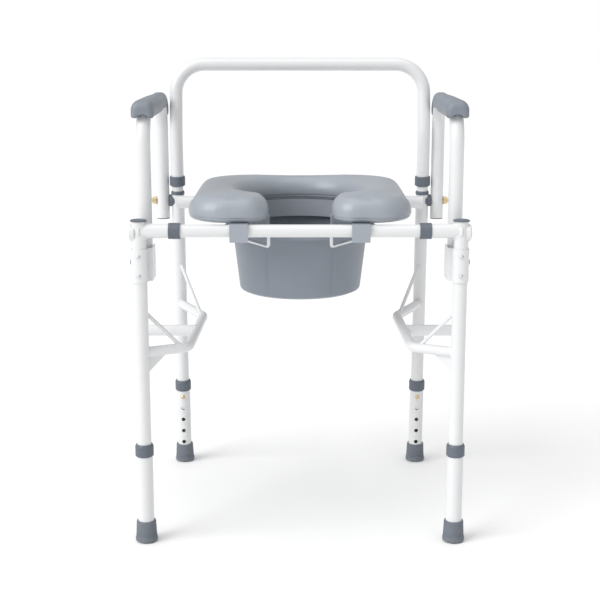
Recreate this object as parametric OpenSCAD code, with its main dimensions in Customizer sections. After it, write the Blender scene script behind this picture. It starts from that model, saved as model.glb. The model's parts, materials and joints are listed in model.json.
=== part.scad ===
// Commode chair: a tubular frame on four height-adjustable legs, with a hinged
// horseshoe seat, a pail that slides out to the rear, swinging arms and a plug-in
// backrest. Front is -Y, up is +Z, and the origin is on the floor under the
// middle of the base. Left and right are as seen from the front.

/* [Base] */
// Spacing of the front legs' centre lines
front_spacing = 555; // [540:1:570]
// Spacing of the rear legs' centre lines
rear_spacing = 495; // [485:1:505]
// Distance from the front feet to the rear feet
base_depth = 441; // [436:1:446]
// Forward lean of the rear legs
rake = 4.29; // [3.9:0.1:4.6]
// Height of the seat rails' centre line
rail_z = 566; // [560:1:572]

/* [Tubes] */
// Outer diameter of the legs, arms and backrest
tube_d = 25.4; // [24:0.1:26]
// Wall of the main tubes
wall = 1.5; // [1:0.1:2]
// Outer diameter of the leg extensions
extension_d = 28.6; // [28.6:0.1:29.2]
// Outer diameter of the front rail
rail_d = 22.2; // [21:0.1:22.2]
// Outer diameter of the side braces
brace_d = 18; // [16:0.5:20]

/* [Leg adjustment] */
// Height of the pin hole in use
hole_z = 148; // [146:1:150]
// Distance between the height holes
hole_pitch = 25.4; // [24:0.1:25.4]
// Number of height holes
hole_count = 5; // [3:1:5]
// Diameter of the height holes
hole_d = 8.2; // [8:0.1:9]

/* [Seat] */
// Width of the cushion
seat_w = 406; // [390:1:415]
// Front edge of the cushion
seat_front = -234; // [-238:1:-228]
// Rear edge of the cushion
seat_rear = 162; // [155:1:165]
// Thickness of the cushion
seat_h = 42; // [36:1:48]
// Width of the gap between the front lobes
seat_gap = 98; // [80:1:110]
// Radius of the seat opening
opening_r = 102; // [95:1:105]

/* [Pail] */
// Radius of the pail under its rim
pail_top_r = 127; // [120:1:128]
// Radius of the pail at its base
pail_base_r = 114; // [105:1:118]
// Height of the pail's base above the floor
pail_base_z = 423; // [415:1:430]
// Place of the pail's centre, front to back
pail_y = -10; // [-12:1:-8]

/* [Backrest] */
// Height of the centre of the backrest's top bar
back_top_z = 838; // [820:1:850]
// Height at which the backrest starts to lean back
back_bend_z = 703; // [695:1:715]
// Backward lean of the upper backrest
back_lean = 10; // [8:0.5:11]
// Bend radius of the backrest's top corners
back_r = 57; // [50:1:60]

/* [Arms] */
// Height of the arm's top bar
arm_z = 765; // [755:1:770]
// Sideways place of the front arm post
arm_front_x = 271; // [270.8:0.1:271.4]
// Sideways place of the rear arm post
arm_rear_x = 277.5; // [277.3:0.1:277.8]
// Distance of the front arm post behind the front leg
arm_setback = 38.5; // [38:0.5:40]
// Height of the arm's pivot
pivot_z = 567; // [565:1:568]

/* [Hidden] */
$fn = 48;

steel_white = "whitesmoke";
grey_plastic = "slategray";
pad_grey = "lightslategray";
zinc = "silver";
yellow_zinc = "goldenrod";
rubber_grey = "dimgray";

tube_r = tube_d / 2;
bore_d = tube_d - 2 * wall;
front_x = front_spacing / 2;
rear_x = rear_spacing / 2;
front_y = -base_depth / 2;
rear_y = base_depth / 2;
slack = 0.1;            // running clearance on the radius
gap = 0.3;              // gap between faces that move past each other

leg_bottom_s = 120;     // lower end of the upper leg tubes, along the leg
front_top_s = 583;
rear_top_s = 581.5;
extension_top_s = 178;
foot_floor = 8;         // rubber under the extension tube
foot_h = 40;
foot_r = 19.75;
collar_r = 16.4;

crossbar_y = rear_y - rail_z * tan(rake) - 20;
pivot_y = rear_y - pivot_z * tan(rake);
arm_front_y = front_y + arm_setback;
arm_bottom_z = 477;
arm_tail_z = 532;
arm_bend_r = 55;
pivot_d = 8;

base_h = 6.8;
seat_base_z = rail_z + tube_r + 0.5;
seat_z = seat_base_z + base_h;
rim_z = 545;
rod_d = 6;
bead = 1;               // how much wider than its rod the bead at a bend is
carrier_z = rim_z - 3 - (rod_d + bead) / 2 - gap;

// ---- helpers ----

function unit(v) = v / norm(v);
function turn(a, b, c) = acos(unit(b - a) * unit(c - b));
function tangent(p, i, r) =
    i <= 0 || i >= len(p) - 1 ? 0 : r * tan(turn(p[i - 1], p[i], p[i + 1]) / 2);

// A round section d across, hollow if w is its wall
module section(d, w) {
    difference() {
        circle(d = d);
        if (w > 0) circle(d = d - 2 * w);
    }
}

// A round bar or tube from a to b
module bar(a, b, d, w = 0) {
    v = b - a;
    translate(a)
        rotate([0, acos(v.z / norm(v)), atan2(v.y, v.x)])
            linear_extrude(norm(v)) section(d, w);
}

// An elbow that leaves the origin along +Z and bends towards +X
module elbow(r, angle, d, w) {
    translate([r, 0, 0])
        rotate([90, 0, 0])
            rotate([0, 0, 180 - angle])
                rotate_extrude(angle = angle)
                    translate([r, 0]) section(d, w);
}

// A level round bar along the points p, with its corners bent to radius r. Each elbow
// is joined to the straights by a ball that is a little larger than the bar.
module bent_bar(p, r, d) {
    last = len(p) - 1;
    break = 0.5;
    for (i = [0 : last - 1]) {
        way = unit(p[i + 1] - p[i]);
        from = i == 0 ? 0 : tangent(p, i, r) + break;
        to = i == last - 1 ? 0 : tangent(p, i + 1, r) + break;
        bar(p[i] + from * way, p[i + 1] - to * way, d);
    }
    for (i = [1 : last - 1]) {
        u = unit(p[i] - p[i - 1]);
        v = unit(p[i + 1] - p[i]);
        start = p[i] - tangent(p, i, r) * u;
        end = p[i] + tangent(p, i, r) * v;
        centre = start + r * unit(v - (u * v) * u);
        arm = cross(u, v).z > 0 ? start - centre : end - centre;
        translate(centre)
            rotate([0, 0, atan2(arm.y, arm.x)])
                rotate_extrude(angle = turn(p[i - 1], p[i], p[i + 1]))
                    translate([r, 0]) circle(d = d);
        for (place = [start, end])
            translate(place) rotate([90, 0, 20]) sphere(d = d + 0.8);
    }
}

// An inverted U with its top bar along +X at z = 0 and its ends at the given drops
module u_tube(span, drop_a, drop_b, r, d, w = 0) {
    translate([0, 0, -drop_a]) linear_extrude(drop_a - r) section(d, w);
    translate([span, 0, -drop_b]) linear_extrude(drop_b - r) section(d, w);
    translate([0, 0, -r]) elbow(r, 90, d, w);
    translate([span, 0, -r]) mirror([1, 0, 0]) elbow(r, 90, d, w);
    translate([r, 0, 0]) rotate([0, 90, 0]) linear_extrude(span - 2 * r) section(d, w);
}

// A wire along the points p, with a small bead at each bend
module wire(p, d) {
    for (i = [0 : len(p) - 2]) {
        way = unit(p[i + 1] - p[i]);
        from = i == 0 ? 0 : 0.5;
        to = i == len(p) - 2 ? 0 : 0.5;
        bar(p[i] + from * way, p[i + 1] - to * way, d);
    }
    for (i = [1 : len(p) - 2])
        translate(p[i]) sphere(d = d + bead);
}

module ring(od, id, h) {
    difference() {
        cylinder(d = od, h = h);
        translate([0, 0, -1]) cylinder(d = id, h = h + 2);
    }
}

module left() { mirror([1, 0, 0]) children(); }
module pair() {
    children();
    left() children();
}

module front_leg_axis() { translate([front_x, front_y, 0]) children(); }
module rear_leg_axis() { translate([rear_x, rear_y, 0]) rotate([rake, 0, 0]) children(); }

// ---- legs; each is drawn on its own axis, with its holes towards +Y ----

module face_holes(d, count) {
    for (i = [0 : count - 1])
        translate([0, 0, hole_z - i * hole_pitch])
            rotate([-90, 0, 0]) cylinder(d = d, h = extension_d);
}

module leg_tube(top_s) {
    color(steel_white)
    difference() {
        translate([0, 0, leg_bottom_s]) ring(tube_d, bore_d, top_s - leg_bottom_s);
        face_holes(hole_d, 1);
    }
}

module extension() {
    color(steel_white)
    difference() {
        translate([0, 0, foot_floor])
            ring(extension_d, tube_d + 2 * slack, extension_top_s - foot_floor);
        face_holes(hole_d, hole_count);
    }
}

// Plastic collar on the extension's top end, with a lip that guides the upper tube
module leg_collar() {
    lip = 5;
    round_over = 2;
    color(grey_plastic)
    difference() {
        translate([0, 0, extension_top_s - 18])
            rotate_extrude()
                polygon([
                    [0, 0], [collar_r - round_over, 0], [collar_r, round_over],
                    [collar_r, 18 + lip - 2 * round_over],
                    [collar_r - round_over, 18 + lip], [0, 18 + lip]
                ]);
        translate([0, 0, extension_top_s - 19]) cylinder(d = extension_d, h = 19);
        cylinder(d = tube_d + 2 * slack, h = 2 * extension_top_s);
    }
}

// Rubber ferrule, cut flat at the floor when it leans
module foot(lean) {
    color(rubber_grey)
    difference() {
        rotate([lean, 0, 0])
        difference() {
            rotate_extrude()
                polygon([
                    [0, -3], [foot_r, -3], [foot_r, 6], [foot_r - 1.6, 8],
                    [18, foot_h - 2.5], [16.4, foot_h], [0, foot_h]
                ]);
            translate([0, 0, foot_floor]) cylinder(d = extension_d, h = foot_h);
        }
        translate([-50, -50, -20]) cube([100, 100, 20]);
    }
}

// Snap button with the bent leaf spring that pushes it out
module snap_button() {
    pin_d = hole_d - 2 * slack;
    reach = extension_d / 2 + 3;
    leaf = 0.8;
    leaf_w = 7;
    color(yellow_zinc)
    translate([0, 0, hole_z]) {
        rotate([-90, 0, 0]) {
            translate([0, 0, 8]) cylinder(d = pin_d, h = reach - 9.5);
            translate([0, 0, reach - 1.5]) cylinder(d1 = pin_d, d2 = pin_d - 3, h = 1.5);
        }
        translate([-leaf_w / 2, 8 - leaf, -22]) cube([leaf_w, leaf, 30]);
        translate([-leaf_w / 2, -8, -22]) cube([leaf_w, 16, leaf]);
        translate([-leaf_w / 2, -8 - leaf, -22]) cube([leaf_w, leaf, 26]);
    }
}

module leg_front_right() { front_leg_axis() leg_tube(front_top_s); }
module leg_front_left() { left() leg_front_right(); }

module leg_rear_right() {
    difference() {
        rear_leg_axis() rotate([0, 0, 180]) leg_tube(rear_top_s);
        pivot_hole();
    }
}
module leg_rear_left() { left() leg_rear_right(); }

module extension_front_right() { front_leg_axis() extension(); }
module extension_front_left() { left() extension_front_right(); }
module extension_rear_right() { rear_leg_axis() rotate([0, 0, 180]) extension(); }
module extension_rear_left() { left() extension_rear_right(); }

module collar_front_right() { front_leg_axis() leg_collar(); }
module collar_front_left() { left() collar_front_right(); }
module collar_rear_right() { rear_leg_axis() leg_collar(); }
module collar_rear_left() { left() collar_rear_right(); }

module foot_front_right() { translate([front_x, front_y, 0]) foot(0); }
module foot_front_left() { left() foot_front_right(); }
module foot_rear_right() { translate([rear_x, rear_y, 0]) foot(rake); }
module foot_rear_left() { left() foot_rear_right(); }

module button_front_right() { front_leg_axis() snap_button(); }
module button_front_left() { left() button_front_right(); }
module button_rear_right() { rear_leg_axis() rotate([0, 0, 180]) snap_button(); }
module button_rear_left() { left() button_rear_right(); }

// ---- seat rails and lower frame ----

sleeve_x = 206;         // inner end of the sleeves on the front rail
sleeve_w = 20;

module front_rail() {
    color(steel_white)
    translate([-front_x + tube_r + 4, front_y, rail_z])
        rotate([0, 90, 0]) ring(rail_d, rail_d - 2 * wall, 2 * (front_x - tube_r - 4));
}

// Stubs welded to the front legs, which hold the ends of the front rail
module rail_stubs() {
    color(steel_white)
    pair()
    difference() {
        translate([sleeve_x + sleeve_w, front_y, rail_z])
            rotate([0, 90, 0]) ring(tube_d, rail_d, front_x - sleeve_x - sleeve_w);
        front_leg_axis() cylinder(d = tube_d, h = 2 * rail_z);
    }
}

module rail_sleeves() {
    color(grey_plastic)
    pair()
    translate([sleeve_x, front_y, rail_z])
        rotate([0, 90, 0]) ring(28, rail_d, sleeve_w);
}

// Domed caps on the outer faces of the front legs, in line with the rail
module rail_end_caps() {
    proud = 5;
    color(steel_white)
    pair()
    difference() {
        translate([front_x + 7, front_y, rail_z - 3])
            rotate([0, 90, 0])
                rotate_extrude()
                    polygon([
                        [0, 0], [14.5, 0], [14.5, tube_r - 7 + 2], [13, tube_r - 7 + 3.6],
                        [9.5, tube_r - 7 + proud], [0, tube_r - 7 + proud]
                    ]);
        front_leg_axis() cylinder(d = tube_d, h = 2 * rail_z);
    }
}

// Plugs with a thin rim in the tops of the front legs
module leg_top_caps() {
    plug_h = 10;
    rim_d = 29;
    rim_h = 1.6;
    color(grey_plastic)
    pair()
    front_leg_axis() {
        translate([0, 0, front_top_s - plug_h]) cylinder(d = bore_d, h = plug_h);
        translate([0, 0, front_top_s]) cylinder(d = rim_d, h = rim_h);
        translate([0, 0, front_top_s + rim_h]) cylinder(d1 = rim_d, d2 = 25, h = 1.2);
    }
}

module rear_crossbar() {
    color(steel_white)
    difference() {
        translate([-rear_x, crossbar_y, rail_z])
            rotate([0, 90, 0]) ring(tube_d, bore_d, 2 * rear_x);
        pair() rear_leg_axis() cylinder(d = tube_d, h = 2 * rail_z);
    }
}

brace_z = 350;
brace_front = [199, -179, brace_z];
brace_rear = [192, 72, brace_z];
brace_r = 28;

brace_points = [
    [front_x, front_y, brace_z], brace_front, brace_rear,
    [rear_x, rear_y - brace_z * tan(rake), brace_z]
];

module right_brace_bar(d = brace_d) { bent_bar(brace_points, brace_r, d); }

// Bent tube from the front leg to the rear leg, bulging in under the seat
module side_brace_right() {
    color(steel_white)
    difference() {
        right_brace_bar();
        right_brace_bar(brace_d - 2 * wall);
        front_leg_axis() cylinder(d = tube_d, h = 2 * brace_z);
        rear_leg_axis() cylinder(d = tube_d, h = 2 * brace_z);
    }
}
module side_brace_left() { left() side_brace_right(); }

// Triangular plates under the braces' front ends
module brace_gussets() {
    thick = 3;
    heading = atan2(brace_front.y - front_y, brace_front.x - front_x);
    color(steel_white)
    pair()
    difference() {
        translate([front_x, front_y, brace_z])
            rotate([0, 0, heading])
                rotate([90, 0, 0])
                    translate([0, 0, -thick / 2])
                        linear_extrude(thick)
                            polygon([[10, -brace_d / 2 + 1], [44, -brace_d / 2 + 1],
                                     [10, -38]]);
        right_brace_bar();
        front_leg_axis() cylinder(d = tube_d, h = 2 * brace_z);
    }
}

// Thin stay rods from the legs down to the braces' corners
module brace_rods() {
    stay_d = 7;
    front_end_z = 430;
    rear_end_z = 440;
    color(steel_white)
    pair()
    difference() {
        union() {
            bar([front_x, front_y, front_end_z], [210, -184, brace_z], stay_d);
            bar(on_leg(rear_end_z), [196, 76, brace_z], stay_d);
        }
        right_brace_bar();
        front_leg_axis() cylinder(d = tube_d, h = 2 * brace_z);
        rear_leg_axis() cylinder(d = tube_d, h = 2 * brace_z);
    }
}

stop_y = -50;
stop_d = 21;
stop_root_x = 195;
stop_end_x = 292;

// Stub tubes that stand out sideways from the side braces
module arm_stops() {
    color(steel_white)
    pair()
    difference() {
        translate([stop_root_x, stop_y, brace_z])
            rotate([0, 90, 0])
                ring(stop_d, stop_d - 2 * wall, stop_end_x - stop_root_x);
        right_brace_bar();
        translate([stop_root_x - 45, stop_y - 20, brace_z - 20]) cube([46, 40, 40]);
    }
}

module arm_stop_caps() {
    color(grey_plastic)
    pair()
    translate([stop_end_x, stop_y, brace_z])
        rotate([0, 90, 0]) {
            translate([0, 0, -12]) cylinder(d = stop_d - 2 * wall, h = 12);
            cylinder(d = stop_d + 1, h = 1.6);
            translate([0, 0, 1.6]) cylinder(d1 = stop_d + 1, d2 = stop_d - 4, h = 1.4);
        }
}

// Rods under the rails that carry the pail's rim
module pail_rods() {
    rail_bottom = rail_z - rail_d / 2;
    bar_bottom = rail_z - tube_r;
    inner_x = 54;
    side_x = pail_top_r + 8;
    outer_x = pail_top_r + 26;
    color(zinc)
    pair()
    wire([
        [inner_x, front_y, rail_bottom], [inner_x, front_y, carrier_z],
        [side_x, -84, carrier_z], [side_x, 100, carrier_z],
        [outer_x, crossbar_y, carrier_z], [outer_x, crossbar_y, bar_bottom]
    ], rod_d);
}

// ---- backrest ----

function on_leg(z) = [rear_x, rear_y - z * tan(rake), z];
back_bend = on_leg(back_bend_z);
back_rise = round(10 * (back_top_z - back_bend_z) / cos(back_lean)) / 10;
back_start_z = 600;
spigot_z = 535;

module backrest_tube() {
    break = 2;
    color(steel_white)
    difference() {
        union() {
            translate([-rear_x, back_bend.y, back_bend_z])
                rotate([-back_lean, 0, 0])
                    translate([0, 0, back_rise])
                        u_tube(rear_spacing, back_rise - break, back_rise - break,
                               back_r, tube_d, wall);
            pair() {
                translate(back_bend) sphere(d = tube_d + 0.6);
                bar(on_leg(back_start_z), on_leg(back_bend_z - break), tube_d, wall);
                bar(on_leg(spigot_z), on_leg(back_start_z + 3), bore_d - 2 * slack, wall);
                bar(on_leg(back_start_z + 0.5), on_leg(back_start_z + 4), tube_d - wall);
            }
        }
        pair() pivot_hole();
    }
}

module backrest_collars() {
    color(grey_plastic)
    pair()
    rear_leg_axis()
    translate([0, 0, 598.5])
    difference() {
        rotate_extrude()
            polygon([[0, 0], [13.6, 0], [15.5, 2], [15.5, 18], [14.4, 20], [0, 20]]);
        translate([0, 0, -1]) cylinder(d = bore_d, h = 30);
        translate([0, 0, 3.1]) cylinder(d = tube_d, h = 30);
    }
}

module backrest_rings() {
    color(grey_plastic)
    pair()
    rear_leg_axis()
    translate([0, 0, rear_top_s])
    difference() {
        rotate_extrude()
            polygon([[0, 0], [13.4, 0], [13.4, 4.5], [12.2, 7], [0, 7]]);
        translate([0, 0, -1]) cylinder(d = bore_d, h = 10);
    }
}

// ---- arms ----

arm_toe = atan2(arm_rear_x - arm_front_x, pivot_y - arm_front_y);
arm_span = round(10 * norm([arm_rear_x - arm_front_x, pivot_y - arm_front_y])) / 10;
lock_z = 505;
lock_pin_d = 8;
lock_hole_d = lock_pin_d + 0.4;
leg_inner_x = rear_x - tube_r;
arm_outer_x = arm_rear_x + tube_r;

module pivot_hole() {
    translate([0, pivot_y, pivot_z])
        rotate([0, 90, 0]) cylinder(d = pivot_d + 2 * slack, h = 400);
}

module on_arm() {
    translate([arm_front_x, arm_front_y, arm_z]) rotate([0, 0, 90 - arm_toe]) children();
}

module arm_shape(w = 0) {
    on_arm()
        u_tube(arm_span, arm_z - arm_bottom_z, arm_z - arm_tail_z, arm_bend_r, tube_d, w);
}

module arm_tube_right() {
    color(steel_white)
    difference() {
        arm_shape(wall);
        pivot_hole();
        translate([arm_front_x, arm_front_y, lock_z])
            rotate([0, 90, 0]) cylinder(d = lock_hole_d, h = 40);
    }
}
module arm_tube_left() { left() arm_tube_right(); }

// Moulded pad over the arm's top bar: wide at the nose, narrow beside the backrest
module arm_pad_right() {
    nose_r = 21;
    tail_r = 15;
    pad_h = 30;
    pad_below = 8;      // how far the pad reaches below the tube's centre line
    taper = [190, 250]; // where the pad narrows, measured from its nose
    color(pad_grey)
    difference() {
        on_arm()
        translate([0, 0, -pad_below])
        linear_extrude(pad_h) {
            circle(r = nose_r);
            polygon([
                [0, -nose_r], [taper[0], -nose_r], [taper[1], -tail_r],
                [arm_span, -tail_r], [arm_span, tail_r],
                [taper[1], tail_r], [taper[0], nose_r], [0, nose_r]
            ]);
            translate([arm_span, 0]) circle(r = tail_r);
        }
        arm_shape();
    }
}
module arm_pad_left() { left() arm_pad_right(); }

module arm_end_cap_right() {
    color(grey_plastic)
    translate([arm_rear_x, pivot_y, arm_tail_z]) {
        cylinder(d = bore_d - 2 * slack, h = 14);
        translate([0, 0, -1.8]) cylinder(d = tube_d, h = 1.8);
    }
}
module arm_end_cap_left() { left() arm_end_cap_right(); }

module arm_bushes() {
    color(grey_plastic)
    pair()
    difference() {
        translate([rear_x + 6, pivot_y, pivot_z])
            rotate([0, 90, 0])
                cylinder(d = 24, h = arm_rear_x - tube_r - gap - rear_x - 6);
        rear_leg_axis() cylinder(d = tube_d, h = 2 * pivot_z);
        pivot_hole();
    }
}

module pivot_bolts() {
    head_h = 4;
    tip_x = 303;
    color(yellow_zinc)
    pair()
    translate([leg_inner_x, pivot_y, pivot_z])
        rotate([0, 90, 0]) {
            cylinder(d = pivot_d, h = tip_x - leg_inner_x);
            translate([0, 0, -head_h]) cylinder(d1 = 9, d2 = 13, h = head_h);
        }
}

module pivot_washers() {
    color(yellow_zinc)
    pair()
    translate([arm_outer_x + gap, pivot_y, pivot_z])
        rotate([0, 90, 0]) ring(17, pivot_d, 1.6);
}

module pivot_nuts() {
    color(yellow_zinc)
    pair()
    translate([arm_outer_x + gap + 1.6, pivot_y, pivot_z])
        rotate([0, 90, 0])
            difference() {
                cylinder(d = 13 / cos(30), h = 6.5, $fn = 6);
                translate([0, 0, -1]) cylinder(d = pivot_d, h = 9);
            }
}

cheek = 2;
cheek_in = arm_front_x - tube_r - 0.4;
cheek_out = front_x + tube_r + 0.2;
bracket_front = front_y + 7.5;
bracket_rear = arm_front_y + 17;
bracket_top = 535;

// Channel around the front leg that holds the arm's front post
module arm_bracket_right() {
    color(steel_white)
    difference() {
        translate([0, 0, arm_bottom_z])
        linear_extrude(bracket_top - arm_bottom_z)
        difference() {
            union() {
                translate([front_x, front_y]) circle(r = tube_r + cheek);
                translate([cheek_in - cheek, bracket_front])
                    square([cheek_out - cheek_in + 2 * cheek, bracket_rear - bracket_front]);
            }
            translate([front_x, front_y]) circle(r = tube_r);
            translate([cheek_in, bracket_front + cheek])
                square([cheek_out - cheek_in, bracket_rear - bracket_front]);
        }
        translate([cheek_out - 2, arm_front_y, lock_z])
            rotate([0, 90, 0]) cylinder(d = lock_hole_d, h = 10);
    }
}
module arm_bracket_left() { left() arm_bracket_right(); }

module bracket_rivets() {
    color(zinc)
    pair()
    for (z = [arm_bottom_z + 12, bracket_top - 12])
        translate([front_x, front_y - tube_r - cheek, z])
            rotate([90, 0, 0])
                rotate_extrude()
                    polygon([[0, 0], [3.6, 0], [3, 1.2], [1.8, 1.9], [0, 2.1]]);
}

// Sprung pull knob whose pin locks the arm's front post in its bracket
module arm_lock_right() {
    knob_x = cheek_out + cheek + gap;
    pin_x = arm_front_x + tube_r - 4;
    color(grey_plastic)
    translate([0, arm_front_y, lock_z])
        rotate([0, 90, 0]) {
            translate([0, 0, pin_x]) cylinder(d = lock_pin_d, h = knob_x - pin_x + 1);
            translate([0, 0, knob_x])
                rotate_extrude()
                    polygon([[0, 0], [7.5, 0], [7.5, 2.4], [6, 4.6], [3.4, 5.8], [0, 6.2]]);
        }
}
module arm_lock_left() { left() arm_lock_right(); }

// ---- seat ----

module rounded_square(x0, x1, y0, y1, r) {
    translate([x0 + r, y0]) square([x1 - x0 - 2 * r, y1 - y0]);
    translate([x0, y0 + r]) square([x1 - x0, y1 - y0 - 2 * r]);
    for (x = [x0 + r, x1 - r], y = [y0 + r, y1 - r])
        translate([x, y]) circle(r = r);
}

// Horseshoe outline, inset all round by m
module seat_outline(m) {
    difference() {
        rounded_square(-seat_w / 2 + m, seat_w / 2 - m, seat_front + m, seat_rear - m, 60);
        translate([0, pail_y + 2]) circle(r = opening_r + m);
        translate([0, pail_y - 26]) circle(r = opening_r + m);
        translate([-seat_gap / 2 - m, seat_front - 20])
            square([seat_gap + 2 * m, pail_y - seat_front]);
    }
}

module seat_pad() {
    color(pad_grey)
    translate([0, 0, seat_z]) linear_extrude(seat_h) seat_outline(0);
}

module seat_base() {
    color(grey_plastic)
    difference() {
        translate([0, 0, seat_base_z]) linear_extrude(base_h) seat_outline(5);
        seat_screw_places() cylinder(d = 4, h = 30, center = true);
    }
}

clip_x = 105;
clip_w = 31.5;

module seat_screw_places() {
    for (x = [-170, 170], y = [-150, 110])
        translate([x, y, seat_base_z]) children();
}

module seat_screws() {
    color(zinc)
    seat_screw_places() {
        cylinder(d = 4, h = base_h);
        translate([0, 0, -2.4]) cylinder(d1 = 5, d2 = 8, h = 2.4);
    }
}

// Saddle clips that drop over the front rail
module seat_front_clips() {
    slot_r = rail_d / 2 + 1.4;
    side = 3.6;
    bottom = rail_z - 18;
    color(grey_plastic)
    pair()
    translate([clip_x - clip_w / 2, 0, 0])
    difference() {
        translate([0, front_y - slot_r - side, bottom])
            cube([clip_w, 2 * (slot_r + side), seat_base_z - bottom]);
        translate([-1, front_y, rail_z])
            rotate([0, 90, 0]) cylinder(r = slot_r, h = clip_w + 2);
        translate([-1, front_y - slot_r, bottom - 1])
            cube([clip_w + 2, 2 * slot_r, rail_z - bottom + 1]);
    }
}

module seat_hinge_clips() {
    color(grey_plastic)
    pair()
    translate([clip_x - clip_w / 2, crossbar_y, 0])
    difference() {
        union() {
            translate([0, 0, rail_z])
                rotate([0, 90, 0]) cylinder(r = tube_r + 3, h = clip_w);
            translate([0, -tube_r - 3, rail_z])
                cube([clip_w, tube_r + 3, seat_base_z - rail_z]);
        }
        translate([-1, 0, rail_z])
            rotate([0, 90, 0]) cylinder(r = tube_r + slack, h = clip_w + 2);
        translate([-1, -50, seat_base_z]) cube([clip_w + 2, 100, 50]);
    }
}

// Guard ring that hangs from the seat base into the mouth of the pail
module splash_guard() {
    guard_h = seat_base_z - rim_z - 8;
    inner_d = 2 * opening_r + 16;
    flange_h = 2;
    slot_w = seat_gap + 12;
    color(grey_plastic)
    translate([0, pail_y, seat_base_z - guard_h])
    difference() {
        union() {
            ring(inner_d + 6, inner_d, guard_h);
            translate([0, 0, guard_h - flange_h]) ring(inner_d + 18, inner_d, flange_h);
        }
        translate([-slot_w / 2, -inner_d, -1]) cube([slot_w, inner_d, guard_h + 2]);
    }
}

// ---- pail ----

module pail() {
    skin = 2.6;
    rim_r = pail_top_r + 16;
    color("gray")
    translate([0, pail_y, 0])
    rotate_extrude($fn = 96)
        polygon([
            [0, pail_base_z], [pail_base_r - 4, pail_base_z],
            [pail_base_r, pail_base_z + 4], [pail_top_r, rim_z - 3],
            [rim_r, rim_z - 3], [rim_r, rim_z], [pail_top_r - skin, rim_z],
            [pail_base_r - skin, pail_base_z + skin + 3],
            [pail_base_r - skin - 3, pail_base_z + skin], [0, pail_base_z + skin]
        ]);
}

leg_front_left();
leg_front_right();
leg_rear_left();
leg_rear_right();
extension_front_left();
extension_front_right();
extension_rear_left();
extension_rear_right();
collar_front_left();
collar_front_right();
collar_rear_left();
collar_rear_right();
foot_front_left();
foot_front_right();
foot_rear_left();
foot_rear_right();
button_front_left();
button_front_right();
button_rear_left();
button_rear_right();
front_rail();
rail_stubs();
rail_sleeves();
rail_end_caps();
leg_top_caps();
rear_crossbar();
side_brace_left();
side_brace_right();
brace_gussets();
brace_rods();
arm_stops();
arm_stop_caps();
pail_rods();
backrest_tube();
backrest_collars();
backrest_rings();
arm_bracket_left();
arm_bracket_right();
bracket_rivets();
arm_lock_left();
arm_lock_right();
arm_bushes();
pivot_bolts();
pivot_washers();
pivot_nuts();
arm_tube_left();
arm_tube_right();
arm_pad_left();
arm_pad_right();
arm_end_cap_left();
arm_end_cap_right();
seat_pad();
seat_base();
seat_screws();
seat_front_clips();
seat_hinge_clips();
splash_guard();
pail();
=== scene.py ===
"""Commode chair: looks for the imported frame. Front is -Y and up is +Z, in metres."""

import json
from math import asin, atan2, ceil, cos, pi, radians, sin, sqrt, tan

import bmesh
import bpy
from mathutils import Matrix, Vector
from mathutils.kdtree import KDTree


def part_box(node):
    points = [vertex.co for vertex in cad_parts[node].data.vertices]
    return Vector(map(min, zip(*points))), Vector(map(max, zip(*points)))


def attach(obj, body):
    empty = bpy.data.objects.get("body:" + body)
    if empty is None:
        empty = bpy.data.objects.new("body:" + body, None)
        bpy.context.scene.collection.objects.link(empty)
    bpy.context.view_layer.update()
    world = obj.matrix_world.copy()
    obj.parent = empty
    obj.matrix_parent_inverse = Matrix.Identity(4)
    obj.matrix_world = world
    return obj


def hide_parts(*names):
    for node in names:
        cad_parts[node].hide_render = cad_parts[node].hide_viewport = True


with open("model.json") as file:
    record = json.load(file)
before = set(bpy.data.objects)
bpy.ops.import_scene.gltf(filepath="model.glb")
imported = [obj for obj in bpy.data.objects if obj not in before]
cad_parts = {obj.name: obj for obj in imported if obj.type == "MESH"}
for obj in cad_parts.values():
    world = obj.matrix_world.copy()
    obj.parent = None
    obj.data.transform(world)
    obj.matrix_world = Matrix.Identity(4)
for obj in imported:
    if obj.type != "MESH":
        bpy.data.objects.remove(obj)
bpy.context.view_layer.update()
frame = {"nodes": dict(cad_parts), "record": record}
nodes = frame["nodes"]
slot_of = {row["node"]: row["material_slot"] for row in frame["record"]["subparts"]}

FRONT_X, FRONT_Y = 0.2775, -0.2205
REAR_X, REAR_Y = 0.2475, 0.2205
RAKE = radians(4.29)
TUBE_R = 0.0127
RAIL_Z = 0.566
BRACE_Z, BRACE_R = 0.350, 0.009
CROSSBAR_Y = REAR_Y - RAIL_Z * tan(RAKE) - 0.020
PIVOT_Y = REAR_Y - 0.567 * tan(RAKE)
ARM_X, ARM_Y, ARM_Z = 0.271, -0.182, 0.765
ARM_TAIL_X = 0.2775
ARM_BEND = 0.055
SEAT_Z = 0.586
PAIL_Y, PAIL_RIM_Z, PAIL_BASE_Z = -0.010, 0.545, 0.423
LEFT = Matrix.Diagonal((-1, 1, 1, 1))
CLOTH_FRAMES = 20


# ---- camera, floor and light ----

def look_along(location, target):
    return (Vector(target) - Vector(location)).to_track_quat("-Z", "Y").to_euler()


def set_up_camera():
    data = bpy.data.cameras.new("camera")
    data.lens, data.sensor_width = 75.2, 36
    camera = bpy.data.objects.new("camera", data)
    camera.location = (0, -2.3535, 0.898)
    camera.rotation_euler = (radians(78), 0, 0)
    bpy.context.scene.collection.objects.link(camera)
    bpy.context.scene.camera = camera


def soft_sun(name, direction, strength, spread):
    """A wide, even light that shines along a direction."""
    data = bpy.data.lights.new(name, "SUN")
    data.energy, data.angle = strength, radians(spread)
    light = bpy.data.objects.new(name, data)
    light.rotation_euler = look_along((0, 0, 0), direction)
    bpy.context.scene.collection.objects.link(light)


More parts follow.
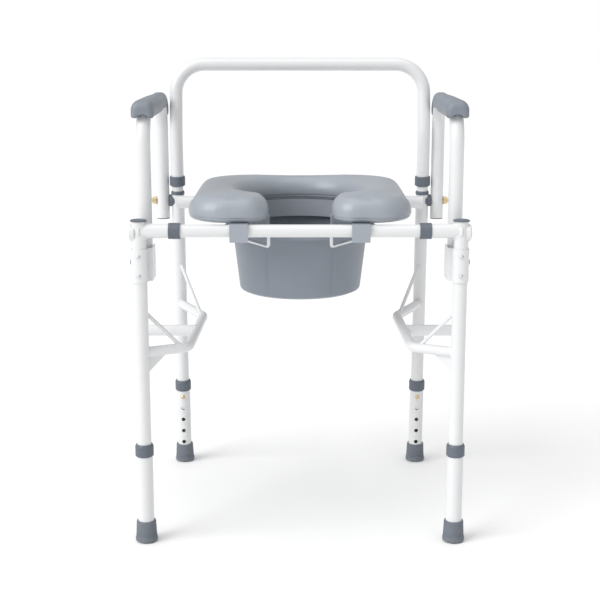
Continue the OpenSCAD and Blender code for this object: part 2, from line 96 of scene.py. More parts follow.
def set_up_world(ambient):
    """White behind the chair, and a softer white light on it."""
    world = bpy.data.worlds.new("studio")
    bpy.context.scene.world = world
    world.use_nodes = True
    tree = world.node_tree
    backdrop = tree.nodes["Background"]
    backdrop.inputs["Color"].default_value = (1, 1, 1, 1)
    path = tree.nodes.new("ShaderNodeLightPath")
    level = tree.nodes.new("ShaderNodeMapRange")
    level.inputs["To Min"].default_value = ambient
    level.inputs["To Max"].default_value = 1.0
    tree.links.new(path.outputs["Is Camera Ray"], level.inputs["Value"])
    tree.links.new(level.outputs["Result"], backdrop.inputs["Strength"])


set_up_camera()
bpy.context.scene.view_settings.view_transform = "Standard"
set_up_world(0.54)
soft_sun("key_light", (0.95, 0.60, -0.80), 1.75, 40)
soft_sun("top_light", (0.10, 0.15, -1), 1.00, 60)


# ---- shader maths ----

class Value:
    """A socket that carries a number, with the arithmetic of ordinary numbers."""

    def __init__(self, finish, socket):
        self.finish, self.socket = finish, socket

    def _with(self, operation, *others, clamp=False):
        socket = self.finish.node(
            "ShaderNodeMath", {"operation": operation, "use_clamp": clamp},
            {i: v for i, v in enumerate((self, *others))})["Value"]
        return Value(self.finish, socket)

    def _after(self, operation, other):
        return Value(self.finish, self.finish.node(
            "ShaderNodeMath", {"operation": operation}, {0: other, 1: self})["Value"])

    def __add__(self, other): return self._with("ADD", other)
    def __radd__(self, other): return self._after("ADD", other)
    def __sub__(self, other): return self._with("SUBTRACT", other)
    def __rsub__(self, other): return self._after("SUBTRACT", other)
    def __mul__(self, other): return self._with("MULTIPLY", other)
    def __rmul__(self, other): return self._after("MULTIPLY", other)
    def __gt__(self, other): return self._with("GREATER_THAN", other)
    def __lt__(self, other): return self._with("LESS_THAN", other)
    def __abs__(self): return self._with("ABSOLUTE")
    def root(self): return self._with("SQRT")
    def clamped(self): return self._with("ADD", 0.0, clamp=True)

    def between(self, low, high):
        """0 below low and 1 above high."""
        return ((self - low) * (1 / (high - low))).clamped()


class Finish:
    """A material whose surface is one Principled shader."""

    def __init__(self, name):
        self.material = bpy.data.materials.new(name)
        self.material.use_nodes = True
        self.tree = self.material.node_tree
        self.surface = self.tree.nodes["Principled BSDF"]
        self.object_point = self.node("ShaderNodeTexCoord", {}, {})["Object"]
        split = self.node("ShaderNodeSeparateXYZ", {}, {0: self.object_point})
        self.x, self.y, self.z = (Value(self, split[a]) for a in "XYZ")

    def node(self, kind, settings, inputs):
        """A node with its settings made first, then its sockets' values or links."""
        new = self.tree.nodes.new(kind)
        for key, value in settings.items():
            setattr(new, key, value)
        for key, value in inputs.items():
            value = getattr(value, "socket", value)
            if isinstance(value, bpy.types.NodeSocket):
                self.tree.links.new(value, new.inputs[key])
            else:
                new.inputs[key].default_value = value
        return new.outputs

    def noise(self, scale, detail=2, roughness=0.5, stretch=None):
        point = self.object_point
        if stretch:
            point = self.node("ShaderNodeMapping", {},
                              {"Vector": point, "Scale": stretch})["Vector"]
        out = self.node("ShaderNodeTexNoise", {}, {
            "Vector": point, "Scale": scale, "Detail": detail, "Roughness": roughness})
        return Value(self, out["Fac"])

    def cells(self, scale):
        out = self.node("ShaderNodeTexVoronoi", {},
                        {"Vector": self.object_point, "Scale": scale})
        return Value(self, out["Distance"])

    def mix(self, amount, first, second):
        """A colour from first, at 0, to second, at 1."""
        def full(c):
            return c if isinstance(c, bpy.types.NodeSocket) else (*c, 1)
        return self.node("ShaderNodeMix", {"data_type": "RGBA"}, {
            0: amount, 6: full(first), 7: full(second)})[2]

    def raised(self, height, depth, under=None):
        """Adds relief of that depth in metres; height runs from 0 to 1."""
        inputs = {"Height": height, "Strength": 1.0, "Distance": depth}
        if under is not None:
            inputs["Normal"] = under
        return self.node("ShaderNodeBump", {}, inputs)["Normal"]

    def set(self, **sockets):
        names = {"colour": "Base Color", "roughness": "Roughness", "metallic": "Metallic",
                 "normal": "Normal", "coat": "Coat Weight", "coat_roughness":
                 "Coat Roughness", "specular": "Specular IOR Level"}
        for key, value in sockets.items():
            value = getattr(value, "socket", value)
            socket = self.surface.inputs[names[key]]
            if isinstance(value, bpy.types.NodeSocket):
                self.tree.links.new(value, socket)
            else:
                socket.default_value = value if isinstance(value, (int, float)) \
                    else (*value, 1)
        return self.material


def leg_tube_radius(f):
    """Distance from the axis of the nearest leg, front or rear."""
    rear = f.y > 0.0
    axis_x = FRONT_X + rear * (REAR_X - FRONT_X)
    axis_y = FRONT_Y + rear * ((REAR_Y - FRONT_Y) - f.z * tan(RAKE))
    across = abs(f.x) - axis_x
    along = f.y - axis_y
    return (across * across + along * along).root()


def powder_coat(name, shade_bore=False):
    """White powder coat: fine orange peel, slightly uneven tone and gloss; optionally the
    inside of the leg tubes is painted near-black as painted shade.
    """
    f = Finish(name)
    peel = f.noise(900, 2)
    wide = f.noise(7, 3)
    white = f.mix(wide, (0.725, 0.732, 0.738), (0.775, 0.780, 0.785))
    rough = 0.30 + wide * 0.08 + peel * 0.05
    if shade_bore:
        # Painted shade: the inside of the leg tubes is coloured near-black and made rougher.
        painted_bore_shade = leg_tube_radius(f) < 0.0122
        white = f.mix(painted_bore_shade, white, (0.045, 0.047, 0.05))
        rough = rough + painted_bore_shade * 0.35
    return f.set(colour=white, roughness=rough, coat=0.25, coat_roughness=0.22,
                 normal=f.raised(peel, 0.00012))


def moulded_plastic(name, base, rough=0.42):
    """Moulded plastic with a fine spark-eroded texture and faint flow shading."""
    f = Finish(name)
    pits = f.noise(1400, 3, 0.6)
    flow = f.noise(16, 3, 0.5, stretch=(1, 1, 0.35))
    colour = f.mix(flow, tuple(c * 0.86 for c in base), tuple(c * 1.08 for c in base))
    return f.set(colour=colour, roughness=rough + pits * 0.10 + flow * 0.05,
                 normal=f.raised(pits, 0.00012))


def ferrule_rubber():
    """Grey rubber, matt, with a dusty lighter band where it meets the floor."""
    f = Finish("ferrule_rubber")
    pits = f.noise(1100, 3, 0.65)
    wide = f.noise(30, 3)
    base = f.mix(wide, (0.125, 0.142, 0.168), (0.170, 0.190, 0.220))
    scuff = (1 - f.z.between(0.001, 0.009)) * f.noise(260, 4, 0.7).between(0.42, 0.7)
    colour = f.mix(scuff * 0.55, base, (0.33, 0.34, 0.35))
    return f.set(colour=colour, roughness=0.62 + pits * 0.12,
                 normal=f.raised(pits, 0.00025))


def plated_metal(name, base, dark):
    """Plated metal with fine drawn streaks and a slightly cloudy plate."""
    f = Finish(name)
    streak = f.noise(420, 3, 0.6, stretch=(1, 1, 0.15))
    cloud = f.noise(60, 3)
    return f.set(colour=f.mix(cloud, dark, base), metallic=1.0,
                 roughness=0.24 + streak * 0.14, normal=f.raised(streak, 0.00004))


def seat_cover():
    """Soft coated cover: fine grain, soft sheen, slight unevenness of the foam."""
    f = Finish("seat_cover")
    grain = f.cells(760)
    pores = f.noise(1500, 2)
    wide = f.noise(9, 3)
    colour = f.mix(wide, (0.300, 0.330, 0.372), (0.345, 0.375, 0.418))
    soft = f.raised(f.noise(26, 2), 0.0010)
    skin = f.raised(grain, 0.00016, under=soft)
    return f.set(colour=colour, roughness=0.32 + grain * 0.10 + pores * 0.05,
                 coat=0.35, coat_roughness=0.26,
                 normal=f.raised(pores, 0.00005, under=skin))


def arm_pad_skin():
    """Dense self-skinned foam: darker, finely pebbled; patches on the top of the crown are
    painted lighter as painted highlight and made glossier as wear.
    """
    f = Finish("arm_pad_skin")
    pebble = f.cells(900)
    pores = f.noise(1600, 2)
    wide = f.noise(22, 3)
    base = f.mix(wide, (0.185, 0.212, 0.246), (0.230, 0.258, 0.296))
    # Top of the crown: colour lifted as painted highlight, roughness lowered as wear.
    crown_highlight_and_wear = f.z.between(0.780, 0.788) * f.noise(60, 3).between(0.3, 0.8)
    colour = f.mix(crown_highlight_and_wear * 0.25, base, (0.30, 0.33, 0.37))
    return f.set(colour=colour, roughness=0.40 + pebble * 0.12 - crown_highlight_and_wear * 0.06,
                 normal=f.raised(pores, 0.00006, under=f.raised(pebble, 0.00018)))


def pail_plastic():
    """Polypropylene: smooth outside, with faint vertical drag."""
    f = Finish("pail_plastic")
    drag = f.noise(120, 3, 0.6, stretch=(1, 1, 0.05))
    wide = f.noise(8, 3)
    colour = f.mix(wide, (0.212, 0.240, 0.280), (0.255, 0.286, 0.330))
    return f.set(colour=colour, roughness=0.34 + drag * 0.12, specular=0.45,
                 normal=f.raised(drag, 0.00010))


def floor_paint():
    f = Finish("floor_paint")
    return f.set(colour=(0.96, 0.96, 0.96), roughness=0.55, specular=0.2)


materials = {
    "white_coat": powder_coat("white_coat"),
    "leg_coat": powder_coat("leg_coat", shade_bore=True),
    "grey_plastic": moulded_plastic("grey_plastic", (0.120, 0.140, 0.170)),
    "clip_plastic": moulded_plastic("clip_plastic", (0.345, 0.375, 0.420), rough=0.36),
    "guard_plastic": moulded_plastic("guard_plastic", (0.350, 0.378, 0.422)),
    "foot_rubber": ferrule_rubber(),
    "button_brass": plated_metal("button_brass", (0.78, 0.60, 0.34), (0.62, 0.46, 0.25)),
    "plated_steel": plated_metal("plated_steel", (0.74, 0.75, 0.77), (0.58, 0.59, 0.61)),
    "yellow_zinc": plated_metal("yellow_zinc", (0.80, 0.64, 0.34), (0.62, 0.52, 0.34)),
    "arm_pad_skin": arm_pad_skin(),
    "seat_skin": seat_cover(),
    "pail_plastic": pail_plastic(),
}


# ---- making pieces ----

def finished(name, bm, body, slot, replaced=(), material=None):
    """Turns a bmesh into a piece of the chair."""
    bmesh.ops.recalc_face_normals(bm, faces=bm.faces)
    mesh = bpy.data.meshes.new(name)
    bm.to_mesh(mesh)
    bm.free()
    piece = bpy.data.objects.new(name, mesh)
    bpy.context.scene.collection.objects.link(piece)
    dress(piece, material or slot)
    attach(piece, body)
    if replaced:
        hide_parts(*replaced)
    return piece


def dress(piece, material, sharp=radians(38)):
    piece.data.materials.clear()
    piece.data.materials.append(materials[material])
    piece.data.shade_smooth()
    piece.data.set_sharp_from_angle(angle=sharp)


def turned(towards):
    """The rotation that takes +Z to a direction."""
    return Vector(towards).normalized().to_track_quat("Z", "Y").to_matrix().to_4x4()


def close_ends(bm):
    bmesh.ops.holes_fill(bm, edges=[e for e in bm.edges if e.is_boundary], sides=0)


def mirrored(bm):
    """Adds the left-hand copy of everything."""
    made = bmesh.ops.duplicate(bm, geom=bm.verts[:] + bm.edges[:] + bm.faces[:])
    copies = [g for g in made["geom"] if isinstance(g, bmesh.types.BMVert)]
    bmesh.ops.transform(bm, matrix=LEFT, verts=copies)


def sweep_tube(bm, path, bend_r, d, sides=32, step=radians(6)):
    """A round tube along a path; bend_r is one bend radius, or one for each corner."""
    path = [Vector(p) for p in path]
    radii = bend_r if isinstance(bend_r, list) else [bend_r] * (len(path) - 2)
    way = (path[1] - path[0]).normalized()
    ring = bmesh.ops.create_circle(
        bm, radius=d / 2, segments=sides,
        matrix=Matrix.Translation(path[0]) @ turned(way))["verts"]
    edges = list({e for v in ring for e in v.link_edges})
    at = path[0]
    for i in range(1, len(path)):
        way = (path[i] - path[i - 1]).normalized()
        stop = path[i]
        inner = i < len(path) - 1
        if inner:
            radius = radii[i - 1]
            onward = (path[i + 1] - path[i]).normalized()
            bend = way.angle(onward)
            setback = radius * tan(bend / 2)
            stop = path[i] - way * setback
        moved = bmesh.ops.extrude_edge_only(bm, edges=edges)["geom"]
        verts = [g for g in moved if isinstance(g, bmesh.types.BMVert)]
        edges = [g for g in moved if isinstance(g, bmesh.types.BMEdge)]
        bmesh.ops.translate(bm, vec=stop - at, verts=verts)
        at = stop
        if inner:
            axis = way.cross(onward).normalized()
            last = bmesh.ops.spin(
                bm, geom=verts + edges, cent=stop + axis.cross(way) * radius, axis=axis,
                angle=bend, steps=max(3, ceil(bend / step)), use_duplicate=False)
            edges = [g for g in last["geom_last"] if isinstance(g, bmesh.types.BMEdge)]
            at = path[i] + onward * setback


def lathe(bm, profile, centre=(0, 0, 0), axis=(0, 0, 1), steps=48):
    """A closed solid of revolution from points given as (radius, height)."""
    place = Matrix.Translation(centre) @ turned(axis)
    verts = [bm.verts.new(place @ Vector((r, 0, h))) for r, h in profile]
    edges = [bm.edges.new(pair) for pair in zip(verts, verts[1:])]
    before = set(bm.verts)
    bmesh.ops.spin(bm, geom=verts + edges, cent=centre,
                   axis=place.to_3x3() @ Vector((0, 0, 1)), angle=2 * pi, steps=steps,
                   use_merge=True, use_duplicate=False)
    mine = verts + [v for v in bm.verts if v not in before]
    bmesh.ops.remove_doubles(bm, verts=[v for v in mine if v.is_valid], dist=1e-6)


def rounded_profile(points, steps=4):
    """A profile whose corners, given as (radius, height, rounding), are rounded."""
    out = []
    for i, point in enumerate(points):
        here = Vector(point[:2])
        r = point[2] if len(point) > 2 else 0
        if r == 0:
            out.append(tuple(here))
            continue
        a = (Vector(points[i - 1][:2]) - here).normalized()
        b = (Vector(points[i + 1][:2]) - here).normalized()
        half = a.angle(b) / 2
        start, end = here + a * (r / tan(half)), here + b * (r / tan(half))
        centre = here + (a + b).normalized() * (r / sin(half))
        for k in range(steps + 1):
            t = k / steps
            arm = (start - centre).lerp(end - centre, t).normalized() * r
            out.append(tuple(centre + arm))
    return out


# ---- CAD nodes that stay ----

SHOWN_AS = {
    "seat_front_clips": "clip_plastic", "seat_hinge_clips": "clip_plastic",
    "seat_base": "clip_plastic", "splash_guard": "guard_plastic",
}

for name, node in nodes.items():
    look = SHOWN_AS.get(name, slot_of[name])
    if name.startswith(("leg_front", "leg_rear", "extension")):
        look = "leg_coat"
    dress(node, look)


# ---- tubes ----

def on_rear_leg(z):
    return Vector((REAR_X, REAR_Y - z * tan(RAKE), z))


def make_backrest():
    lean, top_z, bend_z, low_z = radians(10), 0.838, 0.703, 0.6005
    low_r, corner_r = 0.060, 0.057
    spigot_z, spigot_d = (0.5355, 0.6035), 0.0222
    bend = on_rear_leg(bend_z)
    rise = (top_z - bend.z) / cos(lean)
    corner = bend + Vector((0, sin(lean), cos(lean))) * rise
    right = [on_rear_leg(low_z), bend]
    path = right + [corner, LEFT @ corner, LEFT @ right[1], LEFT @ right[0]]
    bm = bmesh.new()
    sweep_tube(bm, path, [low_r, corner_r, corner_r, low_r], 2 * TUBE_R)
    for side in (Matrix.Identity(4), LEFT):
        sweep_tube(bm, [side @ on_rear_leg(z) for z in spigot_z], 0, spigot_d)
    close_ends(bm)
    finished("backrest_bow", bm, "frame", "white_coat", ["backrest_tube"])


def make_braces():
    bend_r = 0.028
    path = [(FRONT_X, FRONT_Y, BRACE_Z), (0.199, -0.179, BRACE_Z),
            (0.192, 0.072, BRACE_Z), on_rear_leg(BRACE_Z)]
    for side in ("left", "right"):
        bm = bmesh.new()
        sweep_tube(bm, path, bend_r, 2 * BRACE_R)
        close_ends(bm)
        if side == "left":
            bmesh.ops.transform(bm, matrix=LEFT, verts=bm.verts)
        finished(f"side_brace_bar_{side}", bm, "frame", "white_coat",
                 [f"side_brace_{side}"])


def make_pail_rods():
    """Carrier rods: bent wire from the front rail out and back to the crossbar."""
    z, rod_d, bend_r = PAIL_RIM_Z - 0.0063, 0.006, 0.0055
    path = [(0.054, FRONT_Y, RAIL_Z - 0.008), (0.054, FRONT_Y, z), (0.135, -0.084, z),
            (0.135, 0.100, z), (0.153, CROSSBAR_Y, z), (0.153, CROSSBAR_Y, RAIL_Z - 0.009)]
    bm = bmesh.new()
    sweep_tube(bm, path, bend_r, rod_d, sides=20, step=radians(12))
    close_ends(bm)
    mirrored(bm)
    finished("carrier_rods", bm, "frame", "plated_steel", ["pail_rods"])


make_backrest()
make_braces()
make_pail_rods()


# ---- weld beads ----

def weld_bead(bm, centre, axis, bar_r, post_axis, post_r, size=0.0022):
    """A bead where a bar meets a round post square on; centre is on the post's axis."""
    axis, post_axis = Vector(axis).normalized(), Vector(post_axis).normalized()
    side = post_axis.cross(axis).normalized()
    up = axis.cross(side).normalized()
    before = set(bm.verts)
    hoop = Matrix.Translation((bar_r + 0.3 * size, 0, 0)) @ Matrix.Rotation(pi / 2, 4, "X")
    ring = bmesh.ops.create_circle(bm, radius=size, segments=10, matrix=hoop)["verts"]
    edges = list({e for v in ring for e in v.link_edges})
    bmesh.ops.spin(bm, geom=ring + edges, cent=(0, 0, 0), axis=(0, 0, 1), angle=2 * pi,
                   steps=40, use_merge=True, use_duplicate=False)
    mine = [v for v in bm.verts if v not in before]
    bmesh.ops.remove_doubles(bm, verts=mine, dist=1e-7)
    for v in (v for v in bm.verts if v not in before):
        ripple = 1 + 0.10 * sin(26 * atan2(v.co.y, v.co.x))
        across = min(abs(v.co.x), post_r * 0.999)
        rise = sqrt(post_r * post_r - across * across)
        local = Vector((v.co.x, v.co.y, v.co.z * ripple + rise))
        v.co = Vector(centre) + side * local.x + up * local.y + axis * local.z


def make_welds():
    bm = bmesh.new()
    leg_up = Vector((0, -sin(RAKE), cos(RAKE)))
    weld_bead(bm, (FRONT_X, FRONT_Y, RAIL_Z), (-1, 0, 0), TUBE_R, (0, 0, 1), TUBE_R)
    front_way = Vector((0.199 - FRONT_X, -0.179 - FRONT_Y, 0)).normalized()
    rear = on_rear_leg(BRACE_Z)
    rear_way = (Vector((0.192, 0.072, BRACE_Z)) - rear).normalized()
    weld_bead(bm, (FRONT_X, FRONT_Y, BRACE_Z), front_way, BRACE_R, (0, 0, 1), TUBE_R,
              0.0018)
    weld_bead(bm, rear, rear_way, BRACE_R, leg_up, TUBE_R, 0.0018)
    mirrored(bm)
    finished("weld_beads", bm, "frame", "white_coat")


make_welds()


# ---- pail ----

def make_pail():
    """Pail with a rolled rim, six shallow vertical flutes and a rounded base."""
    profile = rounded_profile([
        (0, 0.0), (0.104, 0.0), (0.106, 0.0015, 0.0008), (0.1135, 0.0035, 0.006),
        (0.127, 0.1165, 0.002), (0.1410, 0.1165), (0.1410, 0.1150), (0.1430, 0.1150, 0.0006),
        (0.1430, 0.1220, 0.0012), (0.1262, 0.1220, 0.002), (0.1115, 0.0065, 0.006),
        (0.1020, 0.0035), (0, 0.0035)])
    bm = bmesh.new()
    lathe(bm, profile, steps=144)
    tall = [e for e in bm.edges
            if abs(e.verts[0].co.z - e.verts[1].co.z) > 0.05]
    bmesh.ops.subdivide_edges(bm, edges=tall, cuts=10, use_grid_fill=True)
    pitch, half_width, depth = radians(60), 0.0065, 0.0024
    low, high, run_out = 0.004, 0.117, 0.012
    for v in bm.verts:
        r = v.co.xy.length
        if not 0.09 <= r <= 0.130 or not low < v.co.z < high:
            continue
        off = atan2(v.co.x, -v.co.y) % pitch - pitch / 2
        groove = max(0, 1 - abs(off) * r / half_width)
        groove = groove * groove * (3 - 2 * groove)
        fade = min(1, (v.co.z - low) / run_out, (high - v.co.z) / run_out)
        v.co.xy = v.co.xy * (1 - depth * groove * fade / r)
    bmesh.ops.translate(bm, vec=(0, PAIL_Y, PAIL_BASE_Z), verts=bm.verts)
    finished("moulded_pail", bm, "pail", "pail_plastic", ["pail"])


make_pail()


# ---- feet ----

def make_feet():
    """Rubber ferrules with a flared base, two grip rings and a rolled mouth."""
    profile = rounded_profile([
        (0, 0), (0.0165, 0), (0.0172, 0.0016), (0.0197, 0.0016, 0.0010),
        (0.0197, 0.0075, 0.0014), (0.0190, 0.0090), (0.0188, 0.0118), (0.0182, 0.0124),
        (0.0187, 0.0130), (0.0185, 0.0158), (0.0179, 0.0164), (0.0184, 0.0170),
        (0.0176, 0.0350, 0.0020), (0.0170, 0.0390, 0.0016), (0.0144, 0.0392), (0.0144, 0.0120),
        (0, 0.0120)])
    for end, x, y, lean in (("front", FRONT_X, FRONT_Y, 0), ("rear", REAR_X, REAR_Y, RAKE)):
        for side, sign in (("left", -1), ("right", 1)):
            bm = bmesh.new()
            lathe(bm, profile, steps=56)
            if lean:
                base = [v for v in bm.verts if v.co.z < 0.0020]
                bmesh.ops.rotate(bm, verts=bm.verts, cent=(0, 0, 0),
                                 matrix=Matrix.Rotation(lean, 3, "X"))
                for v in base:
                    v.co.z = max(0.0, min(v.co.z, 0.0016))
                for v in bm.verts:
                    v.co.z = max(v.co.z, 0)
            bmesh.ops.translate(bm, vec=(sign * x, y, 0), verts=bm.verts)
            place = f"{end}_{side}"
            finished(f"ferrule_{place}", bm, f"leg_end_{place}", "foot_rubber",
                     [f"foot_{place}"])


make_feet()


# ---- soft pieces ----

def walk(bm, start, moves):
    """An outline from a start point: ("line", point) or ("arc", centre, angle)."""
    here = bm.verts.new((*start, 0))
    for move in moves:
        if move[0] == "line":
            steps = max(1, round((Vector((*move[1], 0)) - here.co).length / 0.012))
            begin = here.co.copy()
            for k in range(1, steps + 1):
                made = bmesh.ops.extrude_vert_indiv(bm, verts=[here])["verts"][0]
                made.co = begin.lerp(Vector((*move[1], 0)), k / steps)
                here = made
        else:
            _, centre, angle = move
            radius = (here.co.xy - Vector(centre)).length
            steps = max(4, ceil(abs(angle) * radius / 0.007))
            spun = bmesh.ops.spin(bm, geom=[here], cent=(*centre, 0), axis=(0, 0, 1),
                                  angle=angle, steps=steps, use_duplicate=False)
            here = next(g for g in spun["geom_last"] if isinstance(g, bmesh.types.BMVert))


def horseshoe(bm, inset):
    """The seat's outline, inset all round, as one flat face."""
    side, back, front = 0.203 - inset, 0.162 - inset, -0.234 + inset
    opening, throat = 0.102 + inset, 0.049 + inset
    rear_r, front_r, lobe_r, fillet = 0.088, 0.066, 0.044, 0.030
    centre_back, centre_front = PAIL_Y + 0.002, PAIL_Y - 0.026
    fillet_x = throat + fillet
    fillet_y = centre_front - sqrt((opening + fillet) ** 2 - fillet_x ** 2)
    turn = pi - atan2(centre_front - fillet_y, -fillet_x)
    right = [
        ("line", (side - rear_r, back)),
        ("arc", (side - rear_r, back - rear_r), -pi / 2),
        ("line", (side, front + front_r)),
        ("arc", (side - front_r, front + front_r), -pi / 2),
        ("line", (throat + lobe_r, front)),
        ("arc", (throat + lobe_r, front + lobe_r), -pi / 2),
        ("line", (throat, fillet_y)),
        ("arc", (fillet_x, fillet_y), -turn),
        ("arc", (0, centre_front), atan2(centre_front - fillet_y, fillet_x)),
        ("line", (opening, centre_back)),
        ("arc", (0, centre_back), pi / 2),
    ]
    walk(bm, (0, back), right)
    geom = bm.verts[:] + bm.edges[:]
    bmesh.ops.mirror(bm, geom=geom, axis="X", merge_dist=1e-5)
    bmesh.ops.remove_doubles(bm, verts=bm.verts, dist=1e-5)
    return bmesh.ops.contextual_create(bm, geom=bm.edges[:])["faces"][0]


def round_edges(bm, edges, radius, segments):
    bmesh.ops.bevel(bm, geom=edges, offset=radius, segments=segments, affect="EDGES",
                    profile=0.5, material=-1)


def raise_face(bm, face, height):
    """Makes a flat face a slab of that height."""
    grown = bmesh.ops.extrude_face_region(bm, geom=[face])["geom"]
    top = [g for g in grown if isinstance(g, bmesh.types.BMVert)]
    bmesh.ops.translate(bm, vec=(0, 0, height), verts=top)
    bmesh.ops.recalc_face_normals(bm, faces=bm.faces)


def evaluated_copy(piece):
    """Applies everything on the piece to its mesh."""
    shape = piece.evaluated_get(bpy.context.evaluated_depsgraph_get())
    mesh = bpy.data.meshes.new_from_object(shape)
    piece.modifiers.clear()
    old, piece.data = piece.data, mesh
    bpy.data.meshes.remove(old)


def voxel_remesh(piece, size, smoothing):
    remesh = piece.modifiers.new("remesh", "REMESH")
    remesh.mode, remesh.voxel_size = "VOXEL", size
    evaluated_copy(piece)
    smooth = piece.modifiers.new("smooth", "SMOOTH")
    smooth.factor, smooth.iterations = 0.5, smoothing
    evaluated_copy(piece)


def inflate(piece, pressure, cap, held=None):
    """Lets the cover swell under pressure; no point moves further than cap."""
    scene = bpy.context.scene
    start = [v.co.copy() for v in piece.data.vertices]
    cloth = piece.modifiers.new("cloth", "CLOTH")
    settings = cloth.settings
    settings.quality = 6
    settings.use_pressure, settings.uniform_pressure_force = True, pressure
    settings.effector_weights.gravity = 0
    settings.tension_stiffness = settings.compression_stiffness = 18
    settings.bending_stiffness = 2.0
    if held is not None:
        group = piece.vertex_groups.new(name="held")
        for v in piece.data.vertices:
            weight = held(v.co)
            if weight > 0:
                group.add([v.index], weight, "REPLACE")
        settings.vertex_group_mass = "held"
    cloth.point_cache.frame_start, cloth.point_cache.frame_end = 1, CLOTH_FRAMES
    for number in range(1, CLOTH_FRAMES + 1):
        scene.frame_set(number)
    evaluated_copy(piece)
    for v, was in zip(piece.data.vertices, start):
        move = v.co - was
        if move.length > cap:
            v.co = was + move * (cap / move.length)
    scene.frame_set(1)


def sew_line(piece, z, width, depth):
    """A fine parting groove round the piece at one height."""
    bm = bmesh.new()
    bm.from_mesh(piece.data)
    for height in (z - width, z - width / 2, z, z + width / 2, z + width):
        bmesh.ops.bisect_plane(bm, geom=bm.verts[:] + bm.edges[:] + bm.faces[:],
                               dist=1e-6, plane_co=(0, 0, height), plane_no=(0, 0, 1))
    bm.normal_update()
    moves = {}
    for v in bm.verts:
        off = abs(v.co.z - z) / width
        if off < 1 and abs(v.normal.z) < 0.8:
            flat = Vector((v.normal.x, v.normal.y, 0)).normalized()
            moves[v] = -flat * depth * (cos(off * pi) + 1) / 2
    for v, move in moves.items():
        v.co += move
    bmesh.ops.dissolve_degenerate(bm, edges=bm.edges, dist=2e-5)
    bm.to_mesh(piece.data)
    bm.free()


def fit_in(piece, low, high):
    """Keeps every point inside a box."""
    for v in piece.data.vertices:
        for i in range(3):
            v.co[i] = min(max(v.co[i], low[i]), high[i])


def crown_up(piece, outline, base, rise, reach):
    """Lifts the top in proportion to how far in from the outline each point lies."""
    tree = KDTree(len(outline))
    for i, point in enumerate(outline):
        tree.insert(point, i)
    tree.balance()
    slab_h = 0.036
    for v in piece.data.vertices:
        height = (v.co.z - base) / slab_h
        if height <= 0:
            continue
        inward = min(1, tree.find(Vector((v.co.x, v.co.y, 0)))[2] / reach)
        dome = sqrt(1 - (1 - inward) ** 2)
        v.co.z += rise * dome * min(1, height) ** 2


def make_seat_cushion():
    inset, base = 0.0065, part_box("seat_base")[0].z + 0.0008
    bm = bmesh.new()
    face = horseshoe(bm, inset)
    outline = [v.co.copy() for v in bm.verts]
    raise_face(bm, face, 0.037)
    rim = [e for e in bm.edges if all(v.co.z > 0.03 for v in e.verts)]
    round_edges(bm, rim, 0.022, 7)
    foot = [e for e in bm.edges if all(v.co.z < 0.0001 for v in e.verts)]
    round_edges(bm, foot, 0.009, 4)
    bmesh.ops.translate(bm, vec=(0, 0, base), verts=bm.verts)
    piece = finished("seat_cushion", bm, "seat", "seat_skin", ["seat_pad"])
    voxel_remesh(piece, 0.004, 8)
    crown_up(piece, outline, base, 0.0085, 0.052)
    inflate(piece, 4.0, 0.0062, held=lambda p: 1.0 if p.z < base + 0.0015 else 0.0)
    low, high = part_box("seat_base")[0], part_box("seat_pad")[1]
    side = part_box("seat_pad")[0]
    low = Vector((side.x, side.y, low.z))
    tallest = max(v.co.z for v in piece.data.vertices)
    for v in piece.data.vertices:
        v.co.z = base + (v.co.z - base) * (high.z - base) / (tallest - base)
    fit_in(piece, low + Vector((0, 0, 0.0003)), high)
    fine = piece.modifiers.new("fine", "SUBSURF")
    fine.levels = fine.render_levels = 1
    evaluated_copy(piece)
    sew_line(piece, SEAT_Z + 0.0015, 0.0016, 0.0011)
    dress(piece, "seat_skin", sharp=radians(80))


make_seat_cushion()


def make_seat_board():
    """Moulded board let into the cushion's underside."""
    bm = bmesh.new()
    raise_face(bm, horseshoe(bm, 0.017), 0.0030)
    bmesh.ops.translate(bm, vec=(0, 0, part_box("seat_base")[0].z), verts=bm.verts)
    finished("seat_board", bm, "seat", "grey_plastic", ["seat_base"], "clip_plastic")


make_seat_board()


def make_splash_guard():
    """Guard ring under the board, open in front, down to just above the pail's rim."""
    inner, skirt, flange = 0.110, 0.113, 0.119
    low, high = PAIL_RIM_Z + 0.0012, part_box("splash_guard")[1].z
    half_slot = asin(0.055 / inner)
    place = Matrix.Translation((0, PAIL_Y, 0)) @ Matrix.Rotation(half_slot - pi / 2, 4, "Z")
    bm = bmesh.new()
    loop = [bm.verts.new(place @ Vector((r, 0, z))) for r, z in (
        (inner, low + 0.0006), (inner + 0.0006, low), (skirt - 0.0006, low),
        (skirt, low + 0.0006), (skirt, high - 0.002), (flange, high - 0.002),
        (flange, high), (inner, high))]
    edges = [bm.edges.new(pair) for pair in zip(loop, loop[1:] + loop[:1])]
    bmesh.ops.spin(bm, geom=loop + edges, cent=(0, PAIL_Y, 0), axis=(0, 0, 1),
                   angle=2 * (pi - half_slot), steps=96, use_duplicate=False)
    close_ends(bm)
    finished("guard_ring", bm, "seat", "grey_plastic", ["splash_guard"], "guard_plastic")


make_splash_guard()


def long_edges(bm):
    return [e for e in bm.edges if abs(e.verts[0].co.x - e.verts[1].co.x) > 0.1]


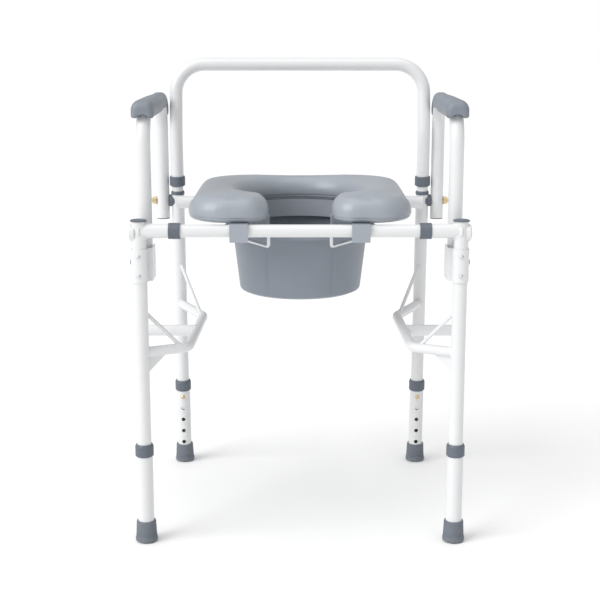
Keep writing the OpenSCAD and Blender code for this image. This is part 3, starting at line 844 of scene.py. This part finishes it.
def make_arm_pad(side):
    """Moulded pad that sits on the arm's top bar like a saddle, its tail curled down."""
    toe = atan2(ARM_TAIL_X - ARM_X, PIVOT_Y - ARM_Y)
    along = Matrix.Translation((ARM_X, ARM_Y, ARM_Z)) @ Matrix.Rotation(pi / 2 - toe, 4, "Z")
    span = Vector((ARM_TAIL_X - ARM_X, PIVOT_Y - ARM_Y)).length
    nose, tail, low, high = -0.008, span + 0.012, -0.0085, 0.0205
    width, crown_r, rim_r, end_r = 0.040, 0.0145, 0.0025, 0.010
    bm = bmesh.new()
    bmesh.ops.create_cube(bm, size=1, matrix=Matrix.Translation(
        ((nose + tail) / 2, 0, (low + high) / 2)) @ Matrix.Diagonal(
        (tail - nose, width, high - low, 1)))
    round_edges(bm, [e for e in long_edges(bm) if e.verts[0].co.z > 0], crown_r, 7)
    round_edges(bm, [e for e in long_edges(bm)
                     if max(v.co.z for v in e.verts) < low + 0.001], rim_r, 2)
    ends = [f for f in bm.faces if abs(f.normal.x) > 0.9]
    round_edges(bm, list({e for f in ends for e in f.edges}), end_r, 5)
    bmesh.ops.subdivide_edges(bm, edges=long_edges(bm), cuts=60, use_grid_fill=True)
    narrow_from, narrow_over, narrowing = 0.150, 0.110, 0.26
    curl_from, curl_r, dip_from, dip_r = span - 0.040, 0.110, 0.022, 0.250
    for v in bm.verts:
        t = (v.co.x - narrow_from) / narrow_over
        t = min(1, max(0, t))
        v.co.y *= 1 - narrowing * t * t * (3 - 2 * t)
        curl = max(0, v.co.x - curl_from)
        v.co.z -= curl * curl / curl_r
        dip = max(0, dip_from - v.co.x)
        v.co.z -= dip * dip / dip_r
    bmesh.ops.transform(bm, matrix=along, verts=bm.verts)
    if side == "left":
        bmesh.ops.transform(bm, matrix=LEFT, verts=bm.verts)
    piece = finished(f"arm_rest_{side}", bm, f"arm_{side}", "arm_pad_skin",
                     [f"arm_pad_{side}"])
    place = LEFT @ along if side == "left" else along
    cut_out(piece, place, [(0, 0, -0.120), (0, 0, 0), (span, 0, 0), (span, 0, -0.120)],
            2 * TUBE_R + 0.0006)
    voxel_remesh(piece, 0.0022, 3)
    arch_nose(piece, place)
    inflate(piece, 3.0, 0.0008)
    fine = piece.modifiers.new("fine", "SUBSURF")
    fine.levels = fine.render_levels = 1
    evaluated_copy(piece)
    dress(piece, "arm_pad_skin", sharp=radians(80))


def arch_nose(piece, place):
    """Hollows the nose underneath, so that its sides hang down beside the front post."""
    arch_z, arch_end, back = -0.0155, 0.030, place.inverted()
    for v in piece.data.vertices:
        local = back @ v.co
        if local.x < arch_end and abs(local.y) < TUBE_R:
            roof = arch_z + sqrt(TUBE_R * TUBE_R - local.y * local.y)
            if local.z < roof:
                v.co.z += roof - local.z


def cut_out(piece, place, path, d):
    """Takes a round channel along a path out of a piece."""
    bm = bmesh.new()
    sweep_tube(bm, path, ARM_BEND, d)
    close_ends(bm)
    bmesh.ops.transform(bm, matrix=place, verts=bm.verts)
    bmesh.ops.recalc_face_normals(bm, faces=bm.faces)
    mesh = bpy.data.meshes.new("channel")
    bm.to_mesh(mesh)
    bm.free()
    channel = bpy.data.objects.new("channel", mesh)
    bpy.context.scene.collection.objects.link(channel)
    cut = piece.modifiers.new("cut", "BOOLEAN")
    cut.operation, cut.solver, cut.object = "DIFFERENCE", "EXACT", channel
    evaluated_copy(piece)
    bpy.data.objects.remove(channel)


make_arm_pad("left")
make_arm_pad("right")


# ---- floor ----

def make_floor():
    bm = bmesh.new()
    bmesh.ops.create_grid(bm, x_segments=1, y_segments=1, size=30)
    mesh = bpy.data.meshes.new("floor")
    bm.to_mesh(mesh)
    bm.free()
    floor = bpy.data.objects.new("floor", mesh)
    floor.location.z = -0.0005
    bpy.context.scene.collection.objects.link(floor)
    mesh.materials.append(floor_paint())


make_floor()
